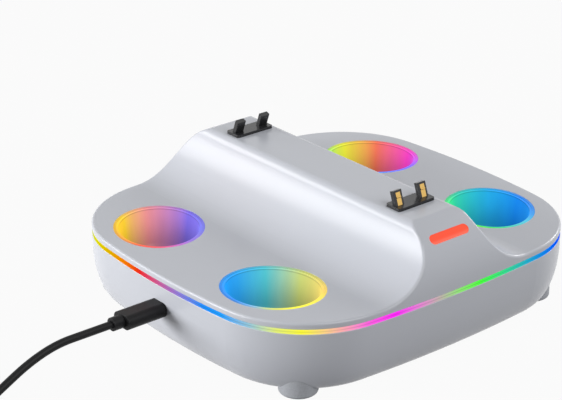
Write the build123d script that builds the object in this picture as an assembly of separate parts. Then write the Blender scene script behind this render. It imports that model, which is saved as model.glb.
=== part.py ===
from build123d import *
import math
import os

os.makedirs("parts", exist_ok=True)

# Charging dock for two gamepads. Millimetres. +Z is up from the table, -Y is the front,
# and the origin is on the table under the middle of the body.

# Body outline seen from above: four bowed sides joined by round corners
half_length = 98.3
half_depth = 90.6
side_bow_radius = 428.8
front_bow_radius = 639.2
corner_radius = 49.3

# Heights above the table
underside_height = 3.0
deck_height = 39.0
rim_height = 3.0
band_height = 2.2

# Shells
wall = 2.2
bowl_run = 9.9
bowl_rise = 25.5
rim_round = 1.2
seam_round = 0.4
skirt_thickness = 1.2
skirt_reach = 6.8
fuse_depth = 0.5
on_line = 0.001

# Ridge between the two charging places
ridge_top_half = 15.2
ridge_height = 26.5
ridge_flank_rest = 3.5
ridge_brow = 1.5
ridge_top_round = 4.5

# Grip cups
cup_side_margin = 31.3
cup_front_margin = 48.8
cup_across = 21.4
cup_along = 24.1
cup_turn = 27.1
cup_fit = 0.1
cup_drop = 0.1
cup_rim = 1.2
cup_step = 1.1
cup_step_depth = 0.3
cup_flange = 1.9
cup_flange_thickness = 1.8
cup_depth = 20.0
cup_wall = 1.8
cup_taper = 2.6
cup_floor_round = 4.0

# Light ring and the lamp strip behind it
ring_setback = 0.1
ring_depth = 2.5
ring_groove = 0.25
lamp_gap = 0.2
lamp_thickness = 0.7
lamp_width = 3.0
lamp_height = 1.8
lamp_count = 40
strip_thickness = 0.3
strip_height = 4.4
strip_top_gap = 0.1
strip_split = 3.0
skirt_notch = 14.0

# Indicator lens on each end of the ridge
lens_length = 23.2
lens_height = 4.8
lens_rise = 46.0
lens_fit = 0.1
lens_flange = 1.2
lens_flange_thickness = 1.2
indicator_board_margin = 5.8
indicator_board_thickness = 1.2
indicator_board_gap = 7.0
indicator_post_radius = 1.6
indicator_post_inset = 2.5
indicator_lamp = (3.0, 2.0, 0.8)
indicator_lamp_spacing = 7.0
pin_radius = 0.8
pin_fit = 0.1
pin_stand = 1.2

# Contact block on the ridge
contact_from_end = 33.6
block_side_gap = 1.0
block_depth = 9.0
block_stand = 1.4
block_drop = 9.0
block_fit = 0.1
block_round = 1.0
block_flange = 5.0
block_flange_thickness = 1.6
seat_lean = 20.0
tongue_width = 5.0
tongue_edge = 1.0
tongue_thickness = 2.4
tongue_length = 6.5
leaf_width = 2.6
leaf_thickness = 0.3
leaf_bump = 0.45
leaf_tail = 3.0

# Feet
foot_radius = 8.9
foot_inset = 12.3
foot_bearing = 45.7
foot_height = 10.0
foot_round = 1.6
foot_fit = 0.1

# Case screws
case_screw_x = 30.0
case_screw_from_front = 18.6
case_joint_height = 20.0
post_radius = 4.6
screw_radius = 1.4
screw_fit = 0.2
screw_head_radius = 2.7
screw_head_height = 1.8
screw_grip = 9.0
screw_seat = 4.0

# Circuit boards
board_thickness = 1.6
main_board_length = 112.0
main_board_depth = 27.0
main_board_gap = 0.9
standoff_radius = 3.0
standoff_inset = 4.5
board_screw_radius = 1.0
board_screw_head_radius = 1.9
board_screw_head_height = 1.3
board_screw_length = 5.0
light_board_length = 30.0
light_board_depth = 16.0
light_board_stand = 3.8
cup_lamp = (3.5, 3.5, 1.0)
cup_lamp_spacing = 6.0

# USB-C socket and plug
plug_height = 23.0
socket_width = 8.94
socket_height = 3.26
socket_length = 7.35
socket_sheet = 0.3
socket_recess = 0.5
socket_fit = 0.2
socket_tongue = (5.0, 6.6, 0.7)
plug_tip_fit = 0.05
plug_tip_length = 6.2
plug_tip_sheet = 0.35
plug_gap = 0.35
plug_grip_width = 12.0
plug_grip_height = 6.8
plug_grip_length = 20.4
plug_grip_corner = 3.3
plug_grip_round = 0.2
sleeve_diameter = 6.3
sleeve_length = 5.6
sleeve_round = 0.25

# Parts on the main board: centres along it from the socket end and across it, then sizes
charge_chip_place = (24.0, 0.0)
charge_chip_size = (6.0, 6.0, 1.0)
light_chip_place = (52.0, -3.0)
light_chip_size = (9.0, 7.0, 1.4)
coil_places = [(35.0, -6.0), (35.0, 6.0)]
coil_size = (6.0, 6.0, 3.2)
capacitor_places = [(62.0, 5.5), (70.0, 5.5), (16.0, -9.0)]
capacitor_radius = 2.5
capacitor_height = 5.4

# Wires
wire_radius = 0.7
wire_bend = 2.4
wire_lift = 6.0
wire_edge = 3.0
indicator_wire_x = 1.2
strip_wire_x = 4.0
cup_wire_x = 1.2
cup_wire_gap = 0.1

# Cord: the route from the sleeve to the coil, the coil, and the tail to the supply plug
cord_diameter = 3.6
bend_share = 0.45
cord_bends = [
    (-138.0, 0.0, 23.0),
    (-152.5, 0.3, 22.9),
    (-167.5, -0.4, 19.2),
    (-182.0, -1.4, 12.6),
    (-195.0, -2.4, 6.6),
    (-206.0, -1.6, 3.7),
    (-215.0, 1.6, 3.2),
]
coil_centre = (-216.0, 24.0)
coil_inner_turn = 15.8
coil_outer_turn = 27.2
coil_layer = 3.6
coil_lift = 0.9
coil_edge = 1.5
tail_route = [
    (-239.5, 27.0, 5.2),
    (-243.0, 38.0, 4.5),
    (-243.6, 48.0, 4.0),
    (-242.6, 57.0, 4.0),
]
tie_width = 10.0
tie_thickness = 0.8
tie_fit = 0.05
tie_angle = 20.0

# Supply plug at the cord's far end
supply_sleeve_length = 7.0
supply_sleeve_diameter = 5.6
supply_grip_length = 24.0
supply_grip_width = 15.4
supply_grip_height = 8.0
supply_grip_round = 1.6
supply_grip_end_round = 0.6
supply_shell_length = 18.75
supply_shell_width = 12.0
supply_shell_height = 4.5
supply_shell_sheet = 0.3
supply_tongue_fit = 0.1
supply_tongue_height = 1.9
supply_tongue_length = 17.0

# Heights and places that follow from the sizes above
band_top = deck_height - rim_height
band_bottom = band_top - band_height
deck_underside = deck_height - wall
floor_top = underside_height + wall
strip_inset = ring_setback + ring_depth + lamp_gap + lamp_thickness
skirt_inset = strip_inset + strip_thickness
ridge_flank_radius = ridge_height + ridge_flank_rest
ridge_end_radius = ridge_height + ridge_brow
ridge_foot = ridge_top_half + math.sqrt(ridge_flank_radius**2 - ridge_flank_rest**2)
ridge_top = deck_height + ridge_height
ridge_inner_top = ridge_top - wall
ridge_inner_half = ridge_top_half - (wall + ridge_top_round) / 2
block_width = 2 * (ridge_inner_half - block_side_gap)
contact_from_middle = half_depth - contact_from_end
tongue_x = block_width / 2 - tongue_edge - tongue_width / 2
cup_x = half_length - cup_side_margin
cup_y = half_depth - cup_front_margin
cup_floor = deck_height - cup_depth
light_board_bottom = floor_top + light_board_stand
light_board_top = light_board_bottom + board_thickness
main_board_top = plug_height - socket_height / 2
main_board_bottom = main_board_top - board_thickness
corners = {
    "front_left": (-1, -1),
    "front_right": (1, -1),
    "rear_left": (-1, 1),
    "rear_right": (1, 1),
}
end_turns = {"front": 0, "rear": 180}


# Outline and plain shapes

def corner_centre():
    """Centre of the corner arc that touches a bowed side and a bowed end from inside."""
    side_x = half_length - side_bow_radius
    end_y = half_depth - front_bow_radius
    side_reach = side_bow_radius - corner_radius
    end_reach = front_bow_radius - corner_radius
    apart = math.hypot(side_x, end_y)
    along = (side_reach**2 - end_reach**2 + apart**2) / (2 * apart)
    across = math.sqrt(side_reach**2 - along**2)
    run_x, run_y = -side_x / apart, end_y / apart
    return Vector(side_x + along * run_x - across * run_y, along * run_y + across * run_x)


def outline(inset=0.0, height=0.0):
    """The body's outline as tangent arcs, stepped in by inset, at a height."""
    corner = corner_centre()
    side = Vector(half_length - side_bow_radius, 0)
    end = Vector(0, half_depth - front_bow_radius)
    a = side + (corner - side).normalized() * (side_bow_radius - inset)
    b = end + (corner - end).normalized() * (front_bow_radius - inset)
    start = (half_length - inset, 0)
    stops = [(a.X, a.Y), (b.X, b.Y), (-b.X, b.Y), (-a.X, a.Y)]
    stops += [(-a.X, -a.Y), (-b.X, -b.Y), (b.X, -b.Y), (a.X, -a.Y), start]
    arcs = []
    here, heading = start, (0, 1)
    for stop in stops:
        arc = TangentArc(here, stop, tangent=heading)
        arcs.append(arc)
        here, heading = stop, arc % 1
    return Pos(0, 0, height) * Wire(arcs)


def slab(inset, low, high):
    """A plate of the body's outline between two heights."""
    return extrude(Face(outline(inset, low)), high - low, dir=(0, 0, 1))


def carried_round(edges):
    """A section, drawn with X outwards and Y upwards, carried round the outline."""
    return sweep(Plane.XZ * make_face(edges), path=outline())


def column(x, y, radius, low, high):
    """An upright cylinder between two heights."""
    return Pos(x, y, (low + high) / 2) * Cylinder(radius, high - low)


def cuboid(size, x, y, low):
    """A box of a size, centred over a point and standing at a height."""
    return Pos(x, y, low + size[2] / 2) * Box(*size)


# Bottom shell

def bowl_form(step_in, low, seam):
    """The bowl, solid: upright sides that turn into a floor along a quarter ellipse."""
    middle_x = half_length - bowl_run
    middle_z = underside_height + bowl_rise
    side_x = half_length - step_in
    edges = [
        EllipticalCenterArc((middle_x, middle_z), bowl_run - step_in, middle_z - low, 270, arc_size=90),
        Line((side_x, middle_z), (side_x, band_bottom - seam)),
        Polyline((side_x - seam, band_bottom), (middle_x, band_bottom), (middle_x, low)),
    ]
    if seam:
        edges.append(CenterArc((side_x - seam, band_bottom - seam), seam, 0, 90))
    return carried_round(edges) + slab(bowl_run, low, band_bottom)


def bowl_inset(height):
    """How far the bowl's side has rounded in at a height."""
    drop = max(0.0, underside_height + bowl_rise - height) / bowl_rise
    return bowl_run * (1 - math.sqrt(1 - drop**2))


side_face_x = -(half_length - bowl_inset(plug_height))
main_board_x = side_face_x + wall + main_board_gap


def foot_places():
    """Centres of the four feet, inset from the round corners."""
    corner = corner_centre()
    reach = corner_radius - foot_inset
    x = corner.X + reach * math.cos(math.radians(foot_bearing))
    y = corner.Y + reach * math.sin(math.radians(foot_bearing))
    return {name: (sx * x, sy * y) for name, (sx, sy) in corners.items()}


def case_screw_places():
    """Centres of the four screws that hold the shells together."""
    y = half_depth - case_screw_from_front
    return [(sx * case_screw_x, sy * y) for sx, sy in corners.values()]


def board_screw_places():
    """Centres of the board screws, with the height of each board's underside."""
    ends = (main_board_x + standoff_inset, main_board_x + main_board_length - standoff_inset)
    y = main_board_depth / 2 - standoff_inset
    places = [(x, side * y, main_board_bottom) for x in ends for side in (-1, 1)]
    reach = light_board_length / 2 - standoff_inset
    for sx, sy in corners.values():
        places += [(sx * cup_x + side * reach, sy * cup_y, light_board_bottom) for side in (-1, 1)]
    return places


def socket_slot(grow):
    """The rounded outline of the USB-C socket, on the body's left side, facing out."""
    mouth = Plane((side_face_x, 0, plug_height), x_dir=(0, 1, 0), z_dir=(-1, 0, 0))
    return mouth * SlotOverall(socket_width + 2 * grow, socket_height + 2 * grow)


def bottom_shell():
    """Bowl with foot pockets, screw posts, board standoffs and the socket opening."""
    bowl = bowl_form(0, underside_height, seam_round)
    shell = bowl - bowl_form(wall, floor_top, 0)
    for x, y in foot_places().values():
        pocket = foot_radius + foot_fit
        shell += column(x, y, pocket + wall, underside_height, foot_height + wall) & bowl
        shell -= column(x, y, pocket, 0, foot_height)
    for x, y in case_screw_places():
        shell += column(x, y, post_radius, underside_height, case_joint_height) & bowl
        shell -= column(x, y, screw_head_radius + screw_fit, 0, case_joint_height - screw_seat)
        shell -= column(x, y, screw_radius + screw_fit, 0, case_joint_height)
    for x, y, top in board_screw_places():
        shell += column(x, y, standoff_radius, underside_height, top) & bowl
        shell -= column(x, y, board_screw_radius, top + board_thickness - board_screw_length, top)
    return shell - extrude(socket_slot(socket_fit), bowl_run, both=True)


# Top shell

def end_form(step_in, low):
    """The body's outline, solid, its sides turned over in a quarter round above a deck at height 0."""
    side_x = half_length - step_in
    radius = ridge_end_radius - step_in
    inner_x = side_x - radius
    edges = [
        CenterArc((inner_x, 0), radius, 0, 90),
        Polyline((inner_x, radius), (inner_x, low), (side_x, low)),
    ]
    if low < 0:
        edges.append(Line((side_x, low), (side_x, 0)))
    return carried_round(edges) + slab(ridge_end_radius, low, radius)


def ridge_form(step_in, low):
    """The ridge, solid, above a deck at height 0: hollow flanks, round upper corners, quarter round ends."""
    top = ridge_height - step_in
    section = Pos(0, (low + top) / 2) * Rectangle(2 * ridge_foot, top - low)
    for side in (-1, 1):
        flank = Circle(ridge_flank_radius + step_in)
        section -= Pos(side * ridge_foot, ridge_flank_radius) * flank
    section = fillet(section.vertices().group_by(Axis.Y)[-1], ridge_top_round - step_in)
    bar = extrude(Plane.XZ * section, half_depth, both=True)
    return bar & end_form(step_in, low)


def rounded_top():
    """Outer form of the top shell, solid, deck at height 0, its rim and the ridge's end edges rounded."""
    form = slab(0, -rim_height, 0) + ridge_form(0, 0)
    end_edges = [edge for end in form.faces().filter_by(GeomType.TORUS) for edge in end.edges()]
    brow = [edge for edge in end_edges if edge.center().Z > rim_round]
    loop = outline()
    rim = [
        edge
        for edge in form.edges()
        if edge.length > fuse_depth
        and all(loop.distance_to(edge @ place) < on_line for place in (0, 0.5, 1))
        and not any(edge.is_same(other) for other in end_edges)
    ]
    form = fillet(brow + rim, rim_round)
    return fillet(form.faces().sort_by(Axis.Z)[0].edges(), seam_round)


def end_plane(distance):
    """Plane across the lens's line of sight at the front end, at a distance from the round's centre."""
    rise = math.radians(lens_rise)
    out = Vector(0, -math.cos(rise), math.sin(rise))
    centre = Vector(0, ridge_end_radius - half_depth, deck_height)
    return Plane(centre + out * distance, x_dir=(1, 0, 0), z_dir=out)


board_face = ridge_end_radius - wall - indicator_board_gap
indicator_board_width = lens_length
indicator_board_height = lens_height + 2 * indicator_board_margin
indicator_pins = [
    (side * (indicator_board_width / 2 - indicator_post_inset),
     side * (indicator_board_height / 2 - indicator_post_inset))
    for side in (-1, 1)
]
stake_y = block_depth / 2 + block_flange / 2


def peg(plane, x, y, radius, length):
    """A pin that stands on a plane."""
    return extrude(plane * Pos(x, y) * Circle(radius), length)


def end_fittings(form):
    """What the front end of the ridge carries inside: posts for the indicator board, stakes for the block."""
    depth = ridge_end_radius - board_face
    back = board_face - indicator_board_thickness - pin_stand
    stakes = Part()
    for x, y in indicator_pins:
        stakes += peg(end_plane(board_face), x, y, indicator_post_radius, depth) & form
        stakes += peg(end_plane(back), x, y, pin_radius, board_face - back)
    low = ridge_inner_top - block_flange_thickness - pin_stand
    for side in (-1, 1):
        stakes += column(0, side * stake_y - contact_from_middle, pin_radius, low, ridge_inner_top + fuse_depth)
    return stakes


def end_openings():
    """Holes in the front end of the ridge: the lens and the contact block."""
    lens = extrude(end_plane(0) * SlotOverall(lens_length, lens_height), 2 * ridge_end_radius)
    sides = (block_width + 2 * block_fit, block_depth + 2 * block_fit)
    slot = RectangleRounded(*sides, block_round)
    return lens + extrude(Pos(0, -contact_from_middle, deck_height) * slot, 2 * ridge_height)


def cup_location(sx, sy):
    """Where a cup stands, and how its oval is turned."""
    return Pos(sx * cup_x, sy * cup_y) * Rot(0, 0, sx * sy * cup_turn)


def oval(grow, height):
    """The cup opening's oval, grown, at a height."""
    return Pos(0, 0, height) * Ellipse(cup_across + grow, cup_along + grow)


def top_shell():
    """Deck and ridge in one piece, hollow, with its skirt, bosses and openings."""
    at_deck = Pos(0, 0, deck_height)
    form = at_deck * rounded_top()
    shell = form - slab(wall, band_bottom, deck_underside) - at_deck * ridge_form(wall, -wall)
    low = deck_underside - skirt_reach
    high = deck_underside + fuse_depth
    skirt = slab(skirt_inset, low, high) - slab(skirt_inset + skirt_thickness, low, high)
    notch_size = (skirt_notch, half_depth, deck_underside - low)
    shell += skirt - cuboid(notch_size, 0, half_depth, low)
    solid = form + slab(wall, case_joint_height, band_top + fuse_depth)
    for x, y in case_screw_places():
        shell += column(x, y, post_radius, case_joint_height, ridge_top) & solid
        shell -= column(x, y, screw_radius, case_joint_height, case_joint_height + screw_grip)
    for turn in end_turns.values():
        shell += Rot(0, 0, turn) * end_fittings(form)
        shell -= Rot(0, 0, turn) * end_openings()
    for sx, sy in corners.values():
        shell -= cup_location(sx, sy) * extrude(oval(0, deck_underside - wall), 3 * wall)
    return shell


# Light ring and lamp strip

def light_ring():
    """Clear strip between the shells, with a fine groove along the middle of its face."""
    face = half_length - ring_setback
    back = face - ring_depth
    middle = (band_bottom + band_top) / 2
    corners_of_section = [
        (back, band_bottom),
        (face, band_bottom),
        (face, middle - ring_groove),
        (face - ring_groove, middle),
        (face, middle + ring_groove),
        (face, band_top),
        (back, band_top),
    ]
    return carried_round(Polyline(*corners_of_section, close=True))


def lamp_strip():
    """Flexible strip on the skirt, behind the light ring, with its ends apart at the rear."""
    high = deck_underside - strip_top_gap
    low = high - strip_height
    strip = slab(strip_inset, low, high) - slab(skirt_inset, low, high)
    return strip - cuboid((strip_split, half_depth, strip_height), 0, half_depth, low)


def ring_lamps():
    """Lamps spaced evenly along the strip, facing the light ring."""
    path = outline(strip_inset - lamp_thickness / 2, (band_bottom + band_top) / 2)
    lamps = []
    for index in range(lamp_count):
        place = (index + 0.5) / lamp_count
        seat = Plane(path @ place, x_dir=path % place, z_dir=(0, 0, 1))
        lamps.append(seat * Box(lamp_width, lamp_thickness, lamp_height))
    return Compound(lamps)


# Grip cups

def grip_cup():
    """Oval cup that fills its opening, with a flange under the deck and a stepped rim."""
    rim = deck_height - cup_drop
    flange_low = deck_underside - cup_flange_thickness
    bottom = cup_floor - cup_wall
    outside = -cup_fit
    step = outside - cup_rim
    inside = step - cup_step
    body = loft([oval(outside, flange_low), oval(outside - cup_taper, bottom)])
    body = fillet(body.edges().group_by(Axis.Z)[0], cup_floor_round + cup_wall)
    body += extrude(oval(outside, flange_low), rim - flange_low)
    body += extrude(oval(cup_flange, flange_low), cup_flange_thickness)
    hollow = loft([oval(inside, rim), oval(inside - cup_taper, cup_floor)])
    hollow = fillet(hollow.edges().group_by(Axis.Z)[0], cup_floor_round)
    return body - hollow - extrude(oval(step, rim - cup_step_depth), cup_step_depth)


# Indicator

def indicator_lens():
    """Pill that fills its hole in the front end of the ridge, with a flange behind the wall."""
    fit = 2 * lens_fit
    pill = SlotOverall(lens_length - fit, lens_height - fit)
    flange = SlotOverall(lens_length + 2 * lens_flange, lens_height + 2 * lens_flange)
    layers = [0, wall, wall + lens_flange_thickness]
    outer, middle, inner = [Pos(0, 0, deck_height) * end_form(step_in, 0) for step_in in layers]
    reach = 2 * ridge_end_radius
    lens = extrude(end_plane(0) * pill, reach) & (outer - middle)
    return lens + (extrude(end_plane(0) * flange, reach) & (middle - inner))


def indicator_board():
    """Small board on two posts behind the lens."""
    sheet = Rectangle(indicator_board_width, indicator_board_height)
    for x, y in indicator_pins:
        sheet -= Pos(x, y) * Circle(pin_radius + pin_fit)
    return extrude(end_plane(board_face) * sheet, -indicator_board_thickness)


def indicator_lamps():
    """Three lamps on the board's outer face."""
    length, width, thickness = indicator_lamp
    face = end_plane(board_face)
    return Compound([
        extrude(face * Pos(step * indicator_lamp_spacing, 0) * Rectangle(length, width), thickness)
        for step in (-1, 0, 1)
    ])


# Contact block

def leaf_contacts():
    """Two leaf springs: each lies on a tongue and runs down through the block to a tail."""
    leaves = []
    lean = Pos(0, 0, ridge_top + block_stand) * Rot(-seat_lean, 0, 0)
    face = -(tongue_thickness - leaf_thickness) / 2
    low = ridge_top - block_drop - leaf_tail
    for side in (-1, 1):
        leaf = lean * cuboid((leaf_width, leaf_thickness, tongue_length), 0, face, -tongue_edge)
        crown = Pos(0, face, tongue_length / 2) * Rot(0, 90, 0) * Cylinder(leaf_bump, leaf_width)
        tail = cuboid((leaf_width, leaf_thickness, ridge_top + block_stand - low), 0, face, low)
        leaves.append(Pos(side * tongue_x, -contact_from_middle, 0) * (leaf + lean * crown + tail))
    return Compound(leaves)


def contact_block(leaves):
    """Block that stands in the ridge's top, flanged below, with two leaning tongues."""
    high = ridge_top + block_stand
    body = cuboid((block_width, block_depth, block_drop + block_stand), 0, 0, ridge_top - block_drop)
    body = fillet(body.edges().filter_by(Axis.Z), block_round)
    flange_size = (block_width, block_depth + 2 * block_flange, block_flange_thickness)
    flange = cuboid(flange_size, 0, 0, ridge_inner_top - block_flange_thickness)
    for side in (-1, 1):
        low = ridge_inner_top - block_flange_thickness
        flange -= column(0, side * stake_y, pin_radius + pin_fit, low, ridge_inner_top)
    body += flange
    lean = Pos(0, 0, high) * Rot(-seat_lean, 0, 0)
    for side in (-1, 1):
        tongue = cuboid((tongue_width, tongue_thickness, tongue_length + block_stand), 0, 0, -block_stand)
        tongue = fillet(tongue.edges().filter_by(Axis.Z), leaf_thickness)
        body += Pos(side * tongue_x, 0, 0) * lean * tongue
    return Pos(0, -contact_from_middle, 0) * body - leaves


# Feet and screws

def foot():
    """Soft round foot with a rounded lower edge."""
    post = column(0, 0, foot_radius, 0, foot_height)
    return fillet(post.edges().group_by(Axis.Z)[0], foot_round)


def screw(radius, head_radius, head_height, length):
    """Pan head screw, its head's seat at the origin, its shank up."""
    return column(0, 0, radius, 0, length) + column(0, 0, head_radius, -head_height, 0)


def case_screws():
    """Screws up through the bottom shell's posts into the top shell's bosses."""
    seat = case_joint_height - screw_seat
    one = screw(screw_radius, screw_head_radius, screw_head_height, screw_seat + screw_grip)
    return Compound([Pos(x, y, seat) * one for x, y in case_screw_places()])


def board_screws():
    """Screws down through the boards into their standoffs."""
    one = screw(board_screw_radius, board_screw_head_radius, board_screw_head_height, board_screw_length)
    return Compound([
        Pos(x, y, low + board_thickness) * Rot(180, 0, 0) * one for x, y, low in board_screw_places()
    ])


# Boards and what stands on them

def drilled(board, low):
    """A board with holes for its own screws."""
    for x, y, height in board_screw_places():
        if height == low:
            board -= column(x, y, board_screw_radius, low, low + board_thickness)
    return board


def main_board():
    """Main board, from the socket inwards along the middle of the body."""
    size = (main_board_length, main_board_depth, board_thickness)
    return drilled(cuboid(size, main_board_x + main_board_length / 2, 0, main_board_bottom), main_board_bottom)


def light_board(sx, sy):
    """Small lamp board under a cup."""
    size = (light_board_length, light_board_depth, board_thickness)
    return drilled(cuboid(size, sx * cup_x, sy * cup_y, light_board_bottom), light_board_bottom)


def cup_lamps():
    """Lamps on the four boards, facing up at the cups."""
    return Compound([
        cuboid(cup_lamp, sx * cup_x + step * cup_lamp_spacing, sy * cup_y, light_board_top)
        for sx, sy in corners.values()
        for step in (-1, 0, 1)
    ])


def on_main_board(size, place):
    """A flat part on the main board."""
    return cuboid(size, main_board_x + place[0], place[1], main_board_top)


def capacitors():
    """Can capacitors on the main board."""
    high = main_board_top + capacitor_height
    return Compound([
        column(main_board_x + x, y, capacitor_radius, main_board_top, high) for x, y in capacitor_places
    ])


def socket_shell():
    """Sheet metal shell of the USB-C socket, closed at the back."""
    inner = extrude(socket_slot(-socket_sheet), -(socket_length - socket_sheet))
    return Pos(socket_recess, 0, 0) * (extrude(socket_slot(0), -socket_length) - inner)


def socket_tongue_plate():
    """Contact tongue in the socket."""
    length = socket_tongue[0]
    back = side_face_x + socket_recess + socket_length - socket_sheet
    return Pos(back - length / 2, 0, plug_height) * Box(*socket_tongue)


# Wires

def wire(points):
    """A round wire along straight runs and bends."""
    path = FilletPolyline(*points, radius=wire_bend)
    return sweep(Plane(path @ 0, z_dir=path % 0) * Circle(wire_radius), path=path)


def landing(x, start_y, start_z):
    """Last points of a wire that comes down at start_y and lands on the main board, near its front edge."""
    y = wire_edge - main_board_depth / 2
    over = main_board_top + wire_lift
    return [(x, start_y, start_z), (x, start_y, over), (x, y, over), (x, y, main_board_top)]


def contact_wires():
    """Two wires from the front contact block's tails."""
    y = -contact_from_middle - (tongue_thickness - leaf_thickness) / 2
    tail = ridge_top - block_drop - leaf_tail
    return Compound([wire(landing(side * tongue_x, y, tail)) for side in (-1, 1)])


def indicator_wires():
    """Two wires from the back of the front indicator board."""
    back = board_face - indicator_board_thickness
    wires = []
    for side in (-1, 1):
        root = end_plane(back).origin
        knee = end_plane(back - indicator_board_gap).origin
        x = side * indicator_wire_x
        wires.append(wire([(x, root.Y, root.Z)] + landing(x, knee.Y, knee.Z)))
    return Compound(wires)


def strip_wires():
    """Two wires from the lamp strip's ends, through the skirt's notch."""
    y = main_board_depth / 2 - wire_edge
    height = deck_underside - strip_top_gap - strip_height / 2
    start = outline(skirt_inset).position_at(0.25).Y
    return Compound([
        wire([(x, start, height), (x, y, height), (x, y, main_board_top)])
        for x in (-strip_wire_x, strip_wire_x)
    ])


def cup_wires():
    """Two wires that run flat off each cup's lamp board, under the cup, to the main board's underside."""
    inner_end = main_board_x + main_board_length - 2 * standoff_inset - standoff_radius
    wires = []
    for sx, sy in corners.values():
        height = light_board_top + cup_wire_gap + wire_radius
        start_y = sy * (cup_y - light_board_depth / 2 + wire_edge)
        end_y = sy * (main_board_depth / 2 - wire_edge)
        for side in (-1, 1):
            x = sx * cup_x + side * cup_wire_x
            end_x = min(sx * cup_x, inner_end) + side * cup_wire_x
            wires.append(wire([(x, start_y, height), (end_x, end_y, height), (end_x, end_y, main_board_bottom)]))
    return Compound(wires)


# USB-C plug and cord

plug_face_x = side_face_x - plug_gap
sleeve_x = plug_face_x - plug_grip_length
cord_exit_x = sleeve_x - sleeve_length


def along_x(x_from, x_to, section):
    """A section, drawn with X along the body's depth, extruded along the plug's line."""
    plane = Plane((x_from, 0, plug_height), x_dir=(0, 1, 0), z_dir=(-1, 0, 0))
    return extrude(plane * section, x_from - x_to)


def plug_tip():
    """Metal tip of the plug, a thin oval tube in the socket."""
    width = socket_width - 2 * (socket_sheet + plug_tip_fit)
    height = socket_height - 2 * (socket_sheet + plug_tip_fit)
    sheet = 2 * plug_tip_sheet
    ring = SlotOverall(width, height) - SlotOverall(width - sheet, height - sheet)
    return along_x(plug_face_x + plug_tip_length, plug_face_x, ring)


def plug_grip():
    """Moulded grip of the plug."""
    section = RectangleRounded(plug_grip_width, plug_grip_height, plug_grip_corner)
    grip = along_x(plug_face_x, sleeve_x, section)
    return fillet(grip.edges().group_by(Axis.X)[0], plug_grip_round)


def cord_sleeve():
    """Short sleeve where the cord leaves the plug."""
    sleeve = along_x(sleeve_x, cord_exit_x, Circle(sleeve_diameter / 2))
    return fillet(sleeve.edges().group_by(Axis.X)[0], sleeve_round)


def cord_tube(points):
    """The cord along straight runs joined by arcs as large as the runs allow."""
    spots = [Vector(*point) for point in points]
    radii = []
    for before, corner, after in zip(spots, spots[1:], spots[2:]):
        run_in, run_out = corner - before, after - corner
        half_turn = math.radians(run_in.get_angle(run_out)) / 2
        radii.append(bend_share * min(run_in.length, run_out.length) / math.tan(half_turn))
    path = FilletPolyline(*spots, radius=radii)
    tube = sweep(Plane(path @ 0, z_dir=path % 0) * Circle(cord_diameter / 2), path=path)
    print("cord bend radii", [round(radius, 1) for radius in radii])
    print("cord length", round(path.length, 1), "volume", round(tube.volume / path.length, 3), "a millimetre")
    return tube


coil_inside = coil_inner_turn - cord_diameter / 2
coil_outside = coil_outer_turn + cord_diameter / 2
coil_top = coil_lift + cord_diameter + coil_layer


def cord_coil():
    """Outer form of the coil of put away cord."""
    ring = column(*coil_centre, coil_outside, coil_lift, coil_top)
    ring -= column(*coil_centre, coil_inside, coil_lift, coil_top)
    return fillet(ring.edges(), coil_edge)


def cord_tie():
    """Flat strap round the coil's turns."""
    low = coil_lift - tie_fit
    inside = math.sqrt(coil_inside**2 - tie_width**2 / 4) - tie_fit
    outside = coil_outside + tie_fit
    span = outside - inside
    height = coil_top + tie_fit - low
    hole = cuboid((span, tie_width, height), inside + span / 2, 0, low)
    band = (span + 2 * tie_thickness, tie_width, height + 2 * tie_thickness)
    loop = cuboid(band, inside + span / 2, 0, low - tie_thickness) - hole
    return Pos(*coil_centre, 0) * Rot(0, 0, tie_angle) * loop


# Supply plug

def supply_plane(distance):
    """Plane across the supply plug, a distance on from the cord's end, with its Y upwards."""
    before, end = Vector(*tail_route[-2]), Vector(*tail_route[-1])
    heading = (end - before).normalized()
    return Plane(end + heading * distance, x_dir=heading.cross(Vector(0, 0, 1)), z_dir=heading)


supply_grip_start = supply_sleeve_length
supply_shell_start = supply_grip_start + supply_grip_length


def supply_sleeve():
    """Short sleeve where the cord enters the supply plug."""
    return extrude(supply_plane(0) * Circle(supply_sleeve_diameter / 2), supply_sleeve_length)


def supply_grip():
    """Moulded grip of the supply plug, with its long edges and both ends rounded."""
    start = supply_plane(supply_grip_start)
    section = RectangleRounded(supply_grip_width, supply_grip_height, supply_grip_round)
    grip = extrude(start * section, supply_grip_length)
    ends = grip.faces().filter_by(Axis(start.origin, start.z_dir))
    return fillet(ends.edges(), supply_grip_end_round)


def supply_shell():
    """Metal shell of the supply plug, an open rectangular tube."""
    sheet = 2 * supply_shell_sheet
    ring = Rectangle(supply_shell_width, supply_shell_height)
    ring -= Rectangle(supply_shell_width - sheet, supply_shell_height - sheet)
    return extrude(supply_plane(supply_shell_start) * ring, supply_shell_length)


def supply_tongue():
    """Contact tongue in the lower half of the supply plug's shell."""
    width = supply_shell_width - 2 * (supply_shell_sheet + supply_tongue_fit)
    low = supply_shell_sheet + supply_tongue_fit - supply_shell_height / 2
    section = Pos(0, low + supply_tongue_height / 2) * Rectangle(width, supply_tongue_height)
    return extrude(supply_plane(supply_shell_start) * section, supply_tongue_length)


# Assembly

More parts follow.
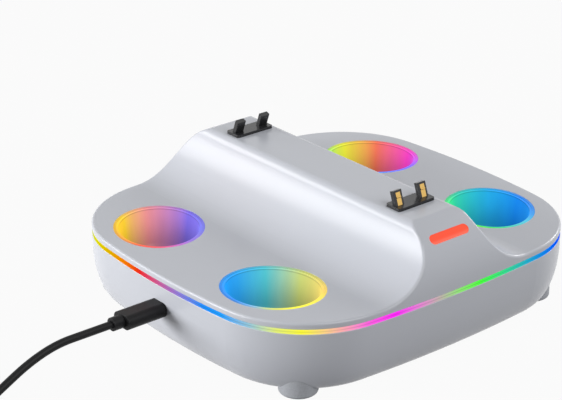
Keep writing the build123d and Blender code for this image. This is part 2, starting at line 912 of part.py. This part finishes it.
parts = {
    "bottom_shell": bottom_shell(),
    "top_shell": top_shell(),
    "light_ring": light_ring(),
    "lamp_strip": lamp_strip(),
    "ring_lamps": ring_lamps(),
    "main_board": main_board(),
    "charge_chip": on_main_board(charge_chip_size, charge_chip_place),
    "light_chip": on_main_board(light_chip_size, light_chip_place),
    "power_coils": Compound([on_main_board(coil_size, place) for place in coil_places]),
    "capacitors": capacitors(),
    "socket_shell": socket_shell(),
    "socket_tongue": socket_tongue_plate(),
    "cup_lamps": cup_lamps(),
    "cup_wires": cup_wires(),
    "case_screws": case_screws(),
    "board_screws": board_screws(),
    "plug_tip": plug_tip(),
    "plug_grip": plug_grip(),
    "cord_sleeve": cord_sleeve(),
    "cord_coil": cord_coil(),
    "cord_tie": cord_tie(),
    "supply_sleeve": supply_sleeve(),
    "supply_grip": supply_grip(),
    "supply_shell": supply_shell(),
    "supply_tongue": supply_tongue(),
}
parts["strip_wires"] = strip_wires() - parts["lamp_strip"]
parts["cord_run"] = cord_tube([(cord_exit_x, 0.0, plug_height)] + cord_bends) - parts["cord_coil"]
parts["cord_tail"] = cord_tube(tail_route) - parts["cord_coil"]

cup = grip_cup()
for name, (sx, sy) in corners.items():
    parts[name + "_cup"] = cup_location(sx, sy) * cup
    parts[name + "_lamp_board"] = light_board(sx, sy)
    x, y = foot_places()[name]
    parts[name + "_foot"] = Pos(x, y, 0) * foot()

leaves = leaf_contacts()
end_pieces = {
    "indicator_lens": indicator_lens(),
    "indicator_board": indicator_board(),
    "indicator_lamps": indicator_lamps(),
    "indicator_wires": indicator_wires(),
    "contact_block": contact_block(leaves),
    "leaf_contacts": leaves,
    "contact_wires": contact_wires(),
}
for end, turn in end_turns.items():
    for name, piece in end_pieces.items():
        parts[end + "_" + name] = Rot(0, 0, turn) * piece

for name, piece in parts.items():
    export_step(piece, f"parts/{name}.step")
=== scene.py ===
import math

import bpy
import numpy as np
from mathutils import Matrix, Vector

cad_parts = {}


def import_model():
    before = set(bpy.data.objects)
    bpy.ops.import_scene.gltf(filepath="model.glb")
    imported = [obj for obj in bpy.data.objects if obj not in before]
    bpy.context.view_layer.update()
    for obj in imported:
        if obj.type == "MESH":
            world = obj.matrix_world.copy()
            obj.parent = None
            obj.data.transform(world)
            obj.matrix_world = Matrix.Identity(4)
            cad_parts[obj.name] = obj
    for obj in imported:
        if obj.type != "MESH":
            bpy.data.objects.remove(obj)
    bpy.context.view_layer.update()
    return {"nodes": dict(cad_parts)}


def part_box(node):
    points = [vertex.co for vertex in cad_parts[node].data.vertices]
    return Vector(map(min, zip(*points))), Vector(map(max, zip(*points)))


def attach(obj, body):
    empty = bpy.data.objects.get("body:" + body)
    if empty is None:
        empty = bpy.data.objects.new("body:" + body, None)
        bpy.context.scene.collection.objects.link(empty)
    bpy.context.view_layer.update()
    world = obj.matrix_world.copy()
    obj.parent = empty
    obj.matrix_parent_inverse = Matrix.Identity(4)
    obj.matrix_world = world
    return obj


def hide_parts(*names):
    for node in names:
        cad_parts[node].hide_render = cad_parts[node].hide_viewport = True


# Charging dock for two gamepads. Metres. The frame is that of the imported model: +Z up from the table,
# -Y the front, and the origin on the table under the middle of the body.

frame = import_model()
nodes = frame["nodes"]
corner_names = ("front_left", "front_right", "rear_left", "rear_right")
end_names = ("front", "rear")

# Camera at the photograph's viewing angle
camera_place = (-0.54311, -0.61854, 0.40902)
camera_aim = (-0.02765, 0.0, 0.05542)
camera_lens = 122.28
camera_sensor = 36.0

# Studio: each lamp's place, side and power, the point that all look at, the floor and the even light
lamps = {
    "key": ((-1.3, 0.6, 0.3), 0.6, 16),
    "left_edge": ((-0.85, 1.1, 0.4), 0.6, 5),
    "right_edge": ((1.2, 0.0, 0.6), 0.5, 5.6),
    "fill": ((0.1, -1.2, 1.05), 1.2, 12.8),
}
lamp_aim = (0, 0, 0.04)
floor_side = 8.0
floor_tone = (0.25, 0.25, 0.26)
floor_white = 0.95
ambient_light = 0.05

# Lead: the route from the plug's sleeve, the coil, and the tail to the supply plug
cord_diameter = 0.0036
cord_route = (
    (-0.1380, 0.0000, 0.0230),
    (-0.1525, 0.0003, 0.0229),
    (-0.1675, -0.0004, 0.0192),
    (-0.1820, -0.0014, 0.0126),
    (-0.1950, -0.0024, 0.0066),
    (-0.2060, -0.0030, 0.0037),
)
coil_centre = (-0.216, 0.024)
coil_outer_turn = 0.0272
coil_inner_turn = 0.0158
coil_low_layer = 0.0027
coil_high_layer = 0.0063
coil_layer_turns = 3.125
coil_points_a_turn = 16
coil_climb_points = 4
coil_start_angle = math.radians(-90)
tail_route = (
    (-0.2434, 0.0330, 0.0054),
    (-0.2434, 0.0410, 0.0043),
    (-0.2436, 0.0480, 0.0040),
    (-0.2426, 0.0570, 0.0040),
)


# Shader tools

class Socket:
    """A node's output that takes part in Python expressions: each operator adds a Math node."""

    def __init__(self, finish, output):
        self.finish = finish
        self.output = output

    def maths(self, operation, *values):
        """The output of a Math node."""
        return self.finish.node("ShaderNodeMath", {"operation": operation}, dict(enumerate(values)))

    def __add__(self, other):
        return self.maths("ADD", self, other)

    def __sub__(self, other):
        return self.maths("SUBTRACT", self, other)

    def __mul__(self, other):
        return self.maths("MULTIPLY", self, other)

    def __truediv__(self, other):
        return self.maths("DIVIDE", self, other)

    def __abs__(self):
        return self.maths("ABSOLUTE", self)

    def between(self, low, high):
        """0 up to low, 1 from high on, and smooth between them; low may be the larger."""
        inputs = {"Value": self, "From Min": low, "From Max": high}
        return self.finish.node("ShaderNodeMapRange", {"interpolation_type": "SMOOTHSTEP"}, inputs)


class Finish:
    """The nodes of a material or of the world, made by one method that adds any node."""

    def __init__(self, owner):
        owner.use_nodes = True
        self.owner = owner
        self.tree = owner.node_tree
        self.tree.nodes.clear()

    @classmethod
    def named(cls, name):
        """The nodes of a new material."""
        return cls(bpy.data.materials.new(name))

    def node(self, kind, settings=None, inputs=None, output=0):
        """Adds a node: its settings first, then the values or links of its sockets."""
        made = self.tree.nodes.new(kind)
        for name, value in (settings or {}).items():
            if name == "stops":
                self.set_stops(made.color_ramp, value)
            else:
                setattr(made, name, value)
        for key, value in (inputs or {}).items():
            if isinstance(value, Socket):
                self.tree.links.new(value.output, made.inputs[key])
            else:
                made.inputs[key].default_value = value
        return Socket(self, made.outputs[output]) if made.outputs else None

    @staticmethod
    def set_stops(ramp, stops):
        """Gives a colour ramp its stops, each a place from 0 to 1 and a linear colour."""
        while len(ramp.elements) > 1:
            ramp.elements.remove(ramp.elements[-1])
        for index, (place, colour) in enumerate(stops):
            element = ramp.elements[0] if index == 0 else ramp.elements.new(place)
            element.position = place
            element.color = (*colour, 1)

    def place(self):
        """Object coordinates, which are the frame's own metres."""
        return self.node("ShaderNodeTexCoord", output="Object")

    def axes(self):
        """The three object coordinates as values."""
        place = self.place()
        return [self.node("ShaderNodeSeparateXYZ", inputs={0: place}, output=axis) for axis in range(3)]

    def noise(self, size, detail=2.0):
        """Noise from 0 to 1 whose grains are about a size across."""
        inputs = {"Vector": self.place(), "Scale": 1 / size, "Detail": detail}
        return self.node("ShaderNodeTexNoise", inputs=inputs)

    def mix(self, share, first, second):
        """Two colours mixed by a share."""
        inputs = {0: share, 6: rgba(first), 7: rgba(second)}
        return self.node("ShaderNodeMix", {"data_type": "RGBA"}, inputs, output=2)

    def scaled(self, colour, amount):
        """A colour times an amount."""
        inputs = {0: colour, "Scale": amount}
        return self.node("ShaderNodeVectorMath", {"operation": "SCALE"}, inputs)

    def bump(self, height, depth, strength=1.0):
        """A normal from a height of 0 to 1 that stands for a depth."""
        inputs = {"Height": height, "Distance": depth, "Strength": strength}
        return self.node("ShaderNodeBump", inputs=inputs)

    def surface(self, **inputs):
        """The finished surface; a socket's name has its spaces written as underscores."""
        named = {key.replace("_", " "): value for key, value in inputs.items()}
        shader = self.node("ShaderNodeBsdfPrincipled", inputs=named)
        self.node("ShaderNodeOutputMaterial", inputs={"Surface": shader})
        return self.owner

    def seen_directly(self):
        """1 for rays from the camera, from a mirror or through glass."""
        names = ("Is Camera Ray", "Is Glossy Ray", "Is Transmission Ray")
        camera, mirror, glass = [self.node("ShaderNodeLightPath", output=name) for name in names]
        return camera.maths("MAXIMUM", camera, mirror.maths("MAXIMUM", mirror, glass))


def rgba(colour):
    """A colour as a socket takes it."""
    return colour if isinstance(colour, Socket) else (*colour, 1)


def linear(red, green, blue):
    """A colour written as it looks on a screen, 0 to 255, as linear light."""
    shares = np.array([red, green, blue]) / 255
    return tuple(np.where(shares > 0.04045, ((shares + 0.055) / 1.055) ** 2.4, shares / 12.92).tolist())


def shaded(colour, amount):
    """A linear colour times an amount."""
    return tuple(channel * amount for channel in colour)


def wheel(stops):
    """Ramp stops for a turn from -180 to 180 degrees, given as degrees and screen colours."""
    ordered = sorted((((angle + 180) % 360) / 360, colour) for angle, colour in stops)
    places = [(place, linear(*colour)) for place, colour in ordered]
    (first, first_colour), (last, last_colour) = places[0], places[-1]
    gap = first + 1 - last
    share = (1 - last) / gap
    seam = tuple(a + (b - a) * share for a, b in zip(last_colour, first_colour))
    return [(0.0, seam)] + places + [(1.0, seam)]


# Finishes

def satin_plastic(name, colour):
    """Moulded plastic with a very fine texture."""
    finish = Finish.named(name)
    grain = finish.noise(0.0005, 3.0)
    cloud = finish.noise(0.06)
    tone = finish.mix(cloud, shaded(colour, 0.96), colour)
    return finish.surface(
        Base_Color=tone,
        Roughness=grain * 0.05 + 0.23,
        Normal=finish.bump(grain, 0.00003, 0.05),
    )


def soft_rubber(name, colour, roughness, gloss=0.5):
    """Matt moulded rubber or soft plastic."""
    finish = Finish.named(name)
    grain = finish.noise(0.0007, 4.0)
    tone = finish.mix(grain, shaded(colour, 0.8), shaded(colour, 1.2))
    return finish.surface(
        Base_Color=tone,
        Roughness=grain * 0.12 + (roughness - 0.06),
        Specular_IOR_Level=gloss,
        Normal=finish.bump(grain, 0.00005, 0.4),
    )


def plated_metal(name, colour, roughness):
    """Drawn or plated sheet with fine lines along Y."""
    finish = Finish.named(name)
    stretched = finish.node("ShaderNodeMapping", inputs={"Vector": finish.place(), "Scale": (1, 0.06, 1)})
    lines = finish.node("ShaderNodeTexNoise", inputs={"Vector": stretched, "Scale": 4000, "Detail": 2})
    tone = finish.mix(lines, shaded(colour, 0.85), colour)
    return finish.surface(
        Base_Color=tone,
        Metallic=1.0,
        Roughness=lines * 0.14 + (roughness - 0.07),
        Normal=finish.bump(lines, 0.00002, 0.3),
    )


def board_mask():
    """Circuit board lacquer over fine copper tracks."""
    finish = Finish.named("board_lacquer")
    inputs = {"Vector": finish.place(), "Scale": 160, "Mortar Size": 0.03}
    tracks = finish.node("ShaderNodeTexBrick", inputs=inputs, output=1)
    tone = finish.mix(tracks, linear(18, 84, 52), linear(30, 116, 70))
    return finish.surface(Base_Color=tone, Roughness=0.35, Normal=finish.bump(tracks, 0.00004))


band_colours = (
    (-172, (145, 125, 212)),
    (-163, (34, 140, 245)),
    (-156, (36, 158, 250)),
    (-148, (152, 198, 212)),
    (-142, (226, 238, 120)),
    (-136, (252, 248, 55)),
    (-128, (249, 178, 168)),
    (-121, (250, 100, 222)),
    (-113, (253, 28, 248)),
    (-104, (224, 138, 204)),
    (-97, (184, 184, 165)),
    (-90, (140, 228, 115)),
    (-82, (72, 252, 60)),
    (-75, (62, 230, 122)),
    (-67, (48, 192, 180)),
    (-60, (24, 148, 225)),
    (-52, (2, 98, 253)),
    (-38, (4, 86, 252)),
    (-24, (110, 80, 250)),
    (-10, (240, 60, 220)),
    (12, (250, 60, 60)),
    (36, (255, 150, 20)),
    (62, (250, 240, 40)),
    (88, (90, 245, 80)),
    (112, (40, 205, 205)),
    (150, (228, 224, 4)),
    (157, (228, 182, 0)),
    (164, (248, 130, 0)),
    (171, (240, 40, 14)),
    (178, (214, 84, 130)),
)


# How far from the band's middle its darker line of painted groove shade starts to fade and ends
band_groove_shade = (0.0001, 0.0004)


def turn_colour(finish, centre, stops):
    """A colour by the direction round a centre."""
    x, y = finish.axes()[:2]
    ahead = y - centre[1]
    turn = ahead.maths("ARCTAN2", ahead, x - centre[0])
    return finish.node("ShaderNodeValToRGB", {"stops": wheel(stops)}, {0: turn / math.tau + 0.5})


def lit_band():
    """Clear ring, lit from behind: colours that run round it and a finer, darker line of painted shade in
    its groove.
    """
    finish = Finish.named("lit_band")
    low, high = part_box("light_ring")
    middle = (low.z + high.z) / 2
    height = finish.axes()[2]
    groove_shade = abs(height - middle).between(*band_groove_shade)
    colour = turn_colour(finish, (0, 0), band_colours)
    # Painted shade: the glow dims to 0.78 of itself along the band's middle, where its groove is
    glow = finish.scaled(colour, groove_shade * 0.22 + 0.78)
    return finish.surface(
        Base_Color=finish.scaled(colour, 0.06),
        Roughness=0.3,
        Specular_IOR_Level=0.0,
        Emission_Color=glow,
        Emission_Strength=1.0,
    )


cup_colours = {
    "front_left": (
        (-45, (242, 206, 98)), (-65, (248, 226, 84)), (-100, (253, 246, 58)), (-116, (240, 238, 80)),
        (-130, (214, 225, 112)), (-141, (188, 214, 162)), (-152, (148, 200, 226)), (-165, (104, 176, 242)),
        (177, (46, 142, 244)), (140, (28, 146, 252)), (100, (40, 165, 245)), (60, (84, 200, 212)),
        (10, (206, 216, 120)),
    ),
    "front_right": (
        (-42, (36, 136, 226)), (-62, (46, 154, 232)), (-85, (68, 190, 216)), (-103, (68, 196, 186)),
        (-118, (52, 208, 140)), (-137, (56, 228, 88)), (-150, (84, 238, 56)), (170, (95, 240, 60)),
        (110, (60, 225, 140)), (45, (40, 175, 238)), (0, (28, 140, 250)),
    ),
    "rear_left": (
        (-51, (114, 118, 228)), (-85, (142, 110, 216)), (-104, (190, 94, 190)), (-120, (232, 82, 130)),
        (-132, (246, 76, 84)), (-150, (252, 92, 58)), (-165, (252, 140, 60)), (180, (250, 166, 44)),
        (150, (252, 192, 10)), (110, (250, 210, 40)), (70, (240, 150, 150)), (10, (124, 110, 232)),
    ),
    "rear_right": (
        (-20, (250, 60, 200)), (-70, (130, 90, 245)), (-120, (45, 130, 250)), (-165, (40, 200, 220)),
        (140, (80, 235, 120)), (90, (235, 235, 60)), (40, (250, 120, 90)),
    ),
}


# Where the rings at a cup's mouth start and end, as depths below its top: the dark lip and the step, both
# painted shade, the lit ledge, a painted highlight, and the rim, a painted highlight that is strongest at
# the cup's front
cup_shade_and_highlight_rings = ((0.0011, 0.0007), (0.00033, 0.00031), (0.00029, 0.00027), (0.00003, 0.00001))


def lit_cup(name):
    """Clear cup, lit from below: colours round it that dim towards its floor as painted shade in its depth,
    and rings of painted shade and painted highlight at its mouth.
    """
    finish = Finish.named(name + "_lit_cup")
    low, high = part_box(name + "_cup")
    centre = (low + high) / 2
    colour = turn_colour(finish, centre, cup_colours[name])
    along, height = finish.axes()[1:]
    rise = height.between(low.z, high.z)
    # Share towards the cup's front, where the rim's painted highlight is strongest
    front = along.between(centre.y, low.y)
    lip_shade, ledge_highlight, step, rim_highlight = [height.between(high.z - start, high.z - end) for start, end in cup_shade_and_highlight_rings]
    flow = finish.node("ShaderNodeMapping", inputs={"Vector": finish.place(), "Scale": (1, 1, 0.25)})
    streaks = finish.node("ShaderNodeTexNoise", inputs={"Vector": flow, "Scale": 180, "Detail": 2})
    # Painted shade: the glow falls from 0.86 at the cup's top to 0.36 at its floor, so the cup looks deep
    depth_shaded_glow = (rise * 0.5 + 0.36) * (streaks * 0.2 + 0.9)
    # Painted shade darkens the lip and the step; painted highlight lights the ledge and the rim's top, most
    # at the cup's front
    strength = depth_shaded_glow - lip_shade * 0.26 + ledge_highlight * 0.4 - step * 0.4 + rim_highlight * (front * 0.3 + 0.08)
    return finish.surface(
        Base_Color=finish.scaled(colour, 0.2),
        Roughness=0.25,
        Specular_IOR_Level=0.15,
        Emission_Color=finish.scaled(colour, strength),
        Emission_Strength=1.0,
        Normal=finish.bump(streaks, 0.0002, 0.4),
    )


# How far from the indicator's middle its paler part starts to fade and ends
indicator_edge = (0.0004, 0.0017)


def lit_indicator():
    """Indicator lens, lit from behind and a little paler along its middle."""
    finish = Finish.named("lit_indicator")
    low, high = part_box("front_indicator_lens")
    middle = (low.z + high.z) / 2
    edge = abs(finish.axes()[2] - middle).between(*indicator_edge)
    glow = finish.mix(edge, linear(255, 110, 88), linear(250, 86, 58))
    return finish.surface(
        Base_Color=finish.scaled(glow, 0.15),
        Roughness=0.3,
        Specular_IOR_Level=0.15,
        Emission_Color=glow,
        Emission_Strength=0.92,
    )


def woven_tie():
    """Strap of fine black loops."""
    finish = Finish.named("woven_tie")
    loops = finish.noise(0.0006, 4.0)
    tone = finish.mix(loops, linear(14, 14, 15), linear(46, 46, 49))
    return finish.surface(Base_Color=tone, Roughness=0.9, Normal=finish.bump(loops, 0.0003))


def lamp_lens():
    """Small lamp: a pale package with a yellow window."""
    finish = Finish.named("lamp_lens")
    cloud = finish.noise(0.001)
    tone = finish.mix(cloud, linear(236, 224, 170), linear(250, 246, 228))
    return finish.surface(Base_Color=tone, Roughness=0.3)


def dress(finish, *names):
    """Gives CAD nodes a finish."""
    for name in names:
        slots = nodes[name].data.materials
        slots.clear()
        slots.append(finish)


def dress_nodes():
    """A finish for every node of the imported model."""
    body = satin_plastic("body_plastic", linear(213, 216, 224))
    black = satin_plastic("black_plastic", linear(34, 34, 36))
    cord_rubber = soft_rubber("cord_rubber", linear(28, 28, 29), 0.42, 0.15)
    silicone = soft_rubber("foot_silicone", linear(184, 187, 193), 0.6)
    steel = plated_metal("plug_steel", linear(200, 200, 202), 0.3)
    gold = plated_metal("contact_gold", linear(226, 186, 110), 0.25)
    board = board_mask()
    lens = lamp_lens()
    red_wire = soft_rubber("wire_cover", linear(150, 30, 28), 0.5)
    dress(body, "top_shell", "bottom_shell")
    dress(lit_band(), "light_ring")
    dress(board, "main_board", "lamp_strip")
    dress(lens, "ring_lamps", "cup_lamps")
    dress(black, "charge_chip", "light_chip", "power_coils", "socket_tongue", "supply_tongue")
    dress(steel, "capacitors", "socket_shell", "plug_tip", "supply_shell", "case_screws", "board_screws")
    dress(red_wire, "strip_wires", "cup_wires")
    dress(cord_rubber, "plug_grip", "cord_sleeve", "supply_sleeve", "supply_grip")
    dress(cord_rubber, "cord_run", "cord_coil", "cord_tail")
    dress(woven_tie(), "cord_tie")
    indicator = lit_indicator()
    for name in corner_names:
        dress(lit_cup(name), name + "_cup")
        dress(board, name + "_lamp_board")
        dress(silicone, name + "_foot")
    for end in end_names:
        dress(indicator, end + "_indicator_lens")
        dress(board, end + "_indicator_board")
        dress(lens, end + "_indicator_lamps")
        dress(red_wire, end + "_indicator_wires", end + "_contact_wires")
        dress(black, end + "_contact_block")
        dress(gold, end + "_leaf_contacts")
    return cord_rubber


# Lead

def coil_points():
    """The coil's turns: inwards in the low layer, then outwards on top of them, as evenly turned points."""
    count = round(coil_layer_turns * coil_points_a_turn)
    step = np.arange(2 * count + 1)
    share = step / count
    angle = coil_start_angle - math.tau * step / coil_points_a_turn
    radius = coil_inner_turn + (coil_outer_turn - coil_inner_turn) * np.abs(1 - share)
    climb = np.clip((share - 1) * count / coil_climb_points + 0.5, 0, 1)
    height = coil_low_layer + (coil_high_layer - coil_low_layer) * climb
    x = coil_centre[0] + radius * np.cos(angle)
    y = coil_centre[1] + radius * np.sin(angle)
    return np.stack([x, y, height], axis=1)


def lead(finish):
    """The cord as one smooth line from the plug's sleeve, through the coil, to the supply plug."""
    low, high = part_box("cord_sleeve")
    exit_point = (low.x, 0.0, (low.z + high.z) / 2)
    points = np.concatenate([[exit_point], cord_route, coil_points(), tail_route])
    curve = bpy.data.curves.new("lead", "CURVE")
    curve.dimensions = "3D"
    spline = curve.splines.new("NURBS")
    spline.points.add(len(points) - 1)
    spline.points.foreach_set("co", np.c_[points, np.ones(len(points))].ravel())
    spline.order_u = 3
    spline.use_endpoint_u = True
    spline.resolution_u = 6
    curve.bevel_depth = cord_diameter / 2
    curve.bevel_resolution = 5
    curve.materials.append(finish)
    cord = bpy.data.objects.new("lead", curve)
    bpy.context.scene.collection.objects.link(cord)
    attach(cord, "root")
    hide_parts("cord_run", "cord_coil", "cord_tail")


# Studio

def turned_to(obj, place, aim):
    """Puts an object at a place, looking at a point."""
    obj.location = place
    obj.rotation_euler = (Vector(aim) - Vector(place)).to_track_quat("-Z", "Y").to_euler()


def camera():
    """Camera at the photograph's viewing angle."""
    data = bpy.data.cameras.new("camera")
    data.lens = camera_lens
    data.sensor_width = camera_sensor
    obj = bpy.data.objects.new("camera", data)
    bpy.context.scene.collection.objects.link(obj)
    turned_to(obj, camera_place, camera_aim)
    bpy.context.scene.camera = obj


def lamp(name, place, side, power):
    """A square soft lamp that looks at the dock."""
    data = bpy.data.lights.new(name, "AREA")
    data.shape = "SQUARE"
    data.size = side
    data.energy = power
    obj = bpy.data.objects.new(name, data)
    bpy.context.scene.collection.objects.link(obj)
    turned_to(obj, place, lamp_aim)


def floor():
    """Plain pale floor that keeps the object's shadow."""
    half = floor_side / 2
    mesh = bpy.data.meshes.new("floor")
    corners = [(-half, -half, 0), (half, -half, 0), (half, half, 0), (-half, half, 0)]
    mesh.from_pydata(corners, [], [(0, 1, 2, 3)])
    finish = Finish.named("pale_floor")
    pale = finish.node("ShaderNodeBsdfDiffuse", inputs={"Color": rgba(floor_tone)})
    white = finish.node("ShaderNodeEmission", inputs={"Color": (1, 1, 1, 1)})
    share = finish.seen_directly() * floor_white
    mixed = finish.node("ShaderNodeMixShader", inputs={0: share, 1: pale, 2: white})
    finish.node("ShaderNodeOutputMaterial", inputs={"Surface": mixed})
    mesh.materials.append(finish.owner)
    obj = bpy.data.objects.new("floor", mesh)
    bpy.context.scene.collection.objects.link(obj)


def world():
    """White where it is seen, and a soft even light elsewhere."""
    finish = Finish(bpy.data.worlds.new("studio"))
    strength = finish.seen_directly() * (1 - ambient_light) + ambient_light
    sky = finish.node("ShaderNodeBackground", inputs={"Color": (1, 1, 1, 1), "Strength": strength})
    finish.node("ShaderNodeOutputWorld", inputs={"Surface": sky})
    bpy.context.scene.world = finish.owner


def studio():
    """Camera, floor, background and lamps."""
    bpy.context.scene.view_settings.view_transform = "Standard"
    camera()
    floor()
    world()
    for name, (place, side, power) in lamps.items():
        lamp(name, place, side, power)


cord_rubber = dress_nodes()
lead(cord_rubber)
studio()
